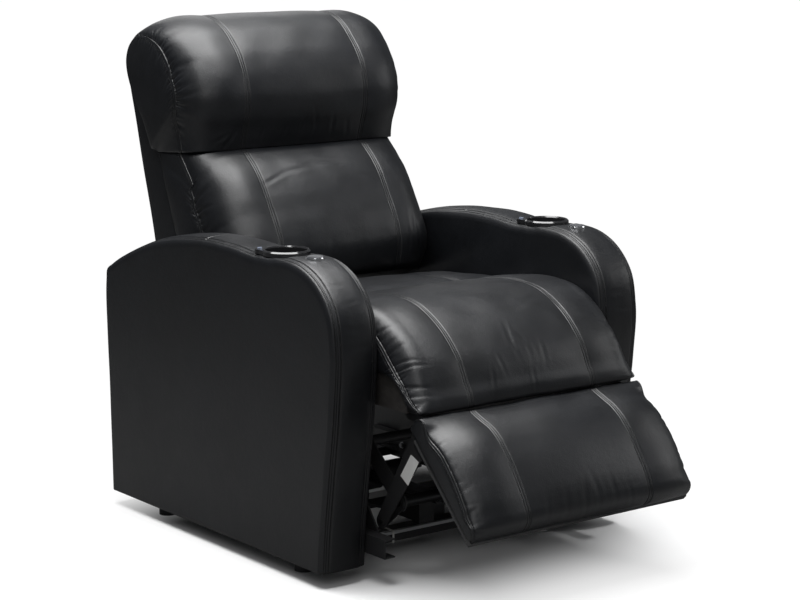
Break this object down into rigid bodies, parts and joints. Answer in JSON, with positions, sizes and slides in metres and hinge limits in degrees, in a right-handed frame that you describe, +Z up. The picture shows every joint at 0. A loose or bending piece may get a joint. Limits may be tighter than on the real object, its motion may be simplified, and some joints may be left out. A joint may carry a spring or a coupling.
{
  "type": "cinema recliner seat",
  "caption": "Upholstered cinema recliner seat with wide arms, cup holders, push buttons, headrest roll, reclining back and a folding footrest on a parallel linkage.",
  "frame": {"origin": "on the floor under the middle of the whole seat as it stands, footrest half open and back upright", "axes": "+Z up, the front of the seat faces -Y, +X is the right side seen from the front"},
  "size_m": [0.816, 1.2771, 1.109],
  "materials": {
    "leather": "upholstery leather, soft grain",
    "foam": "foam on a wooden frame",
    "cup": "black anodised look, smooth",
    "chrome": "polished",
    "button": "smooth",
    "frame_steel": "black powder coat",
    "bright_steel": "zinc plated",
    "housing": "moulded",
    "rod_steel": "drawn",
    "plywood": "bare plywood",
    "webbing": "woven strap",
    "cable": "smooth sheath",
    "glide": "moulded"
  },
  "bodies": {
    "base": {"arm_left_cover": "leather", "arm_right_cover": "leather", "seat_deck": "leather", "seat_front_pad": "leather", "arm_left_core": "foam", "arm_right_core": "foam", "cup_holder_left": "cup", "cup_holder_right": "cup", "switch_bezel_left": "chrome", "switch_bezel_right": "chrome", "side_rail_left": "frame_steel", "side_rail_right": "frame_steel", "cross_rail_front": "frame_steel", "cross_rail_middle": "frame_steel", "cross_rail_rear": "frame_steel", "front_plate_left": "frame_steel", "front_plate_right": "frame_steel", "rear_plate_left": "frame_steel", "rear_plate_right": "frame_steel", "cross_tube": "frame_steel", "torque_bearing_left": "frame_steel", "torque_bearing_right": "frame_steel", "hinge_ear_left": "frame_steel", "hinge_ear_right": "frame_steel", "actuator_saddles": "frame_steel", "footrest_actuator": "housing", "recline_actuator": "housing", "power_supply": "housing", "seat_board_left": "plywood", "seat_board_right": "plywood", "seat_board_front": "plywood", "seat_board_middle": "plywood", "seat_board_rear": "plywood", "seat_webbing": "webbing", "supply_cable": "cable", "glides": "glide"},
    "torque": {"torque_shaft": "frame_steel"},
    "link_left": {"footrest_link_left": "frame_steel"},
    "link_right": {"footrest_link_right": "frame_steel"},
    "footrest": {"footrest_board": "plywood", "footrest_cushion": "leather", "footrest_bracket_left": "frame_steel", "footrest_bracket_right": "frame_steel"},
    "footrest_rod_body": {"footrest_rod": "rod_steel"},
    "recline_rod_body": {"recline_rod": "rod_steel"},
    "back": {"back_shaft": "frame_steel", "back_board_left": "leather", "back_board_right": "leather", "back_board_top": "plywood", "back_board_bottom": "plywood", "back_panel": "leather", "back_cushion": "leather", "headrest": "leather"},
    "lamp_left": {"lamp_button_left": "button"},
    "lamp_right": {"lamp_button_right": "button"},
    "open_left": {"switch_left_open": "button"},
    "close_left": {"switch_left_close": "button"},
    "open_right": {"switch_right_open": "button"},
    "close_right": {"switch_right_close": "button"}
  },
  "joints": [
    {"name": "footrest_fold", "type": "hinge", "parent": "base", "child": "footrest", "pos_m": [0, -0.455, 0.357], "axis": [-1, 0, 0], "range_deg": [-43, 42]},
    {"name": "torque_turn", "type": "hinge", "parent": "base", "child": "torque", "pos_m": [0, -0.331, 0.169], "axis": [-1, 0, 0], "range_deg": [-43, 42]},
    {"name": "link_left_turn", "type": "hinge", "parent": "torque", "child": "link_left", "pos_m": [0, -0.28, 0.118], "axis": [-1, 0, 0], "range_deg": [-42, 43]},
    {"name": "link_right_turn", "type": "hinge", "parent": "torque", "child": "link_right", "pos_m": [0, -0.28, 0.118], "axis": [-1, 0, 0], "range_deg": [-42, 43]},
    {"name": "footrest_rod_slide", "type": "slide", "parent": "base", "child": "footrest_rod_body", "axis": [0, -1, 0], "range_m": [-0.0338, 0.033]},
    {"name": "back_recline", "type": "hinge", "parent": "base", "child": "back", "pos_m": [0, 0.3, 0.47], "axis": [-1, 0, 0], "range_deg": [0, 30]},
    {"name": "recline_rod_slide", "type": "slide", "parent": "base", "child": "recline_rod_body", "axis": [0, -1, 0], "range_m": [0, 0.0472]},
    {"name": "switch_left_open_press", "type": "slide", "parent": "base", "child": "open_left", "axis": [0, 0, -1], "range_m": [0, 0.0015], "stiffness_N_per_m": 600},
    {"name": "switch_left_close_press", "type": "slide", "parent": "base", "child": "close_left", "axis": [0, 0, -1], "range_m": [0, 0.0015], "stiffness_N_per_m": 600},
    {"name": "lamp_left_press", "type": "slide", "parent": "base", "child": "lamp_left", "axis": [0, 0, -1], "range_m": [0, 0.001], "stiffness_N_per_m": 500},
    {"name": "switch_right_open_press", "type": "slide", "parent": "base", "child": "open_right", "axis": [0, 0, -1], "range_m": [0, 0.0015], "stiffness_N_per_m": 600},
    {"name": "switch_right_close_press", "type": "slide", "parent": "base", "child": "close_right", "axis": [0, 0, -1], "range_m": [0, 0.0015], "stiffness_N_per_m": 600},
    {"name": "lamp_right_press", "type": "slide", "parent": "base", "child": "lamp_right", "axis": [0, 0, -1], "range_m": [0, 0.001], "stiffness_N_per_m": 500}
  ],
  "couplings": [
    {"joint": "torque_turn", "follows": "footrest_fold", "ratio": 1},
    {"joint": "link_left_turn", "follows": "footrest_fold", "ratio": -1},
    {"joint": "link_right_turn", "follows": "footrest_fold", "ratio": -1},
    {"joint": "footrest_rod_slide", "follows": "footrest_fold", "m_per_rad": 0.045},
    {"joint": "recline_rod_slide", "follows": "back_recline", "m_per_rad": 0.09}
  ]
}
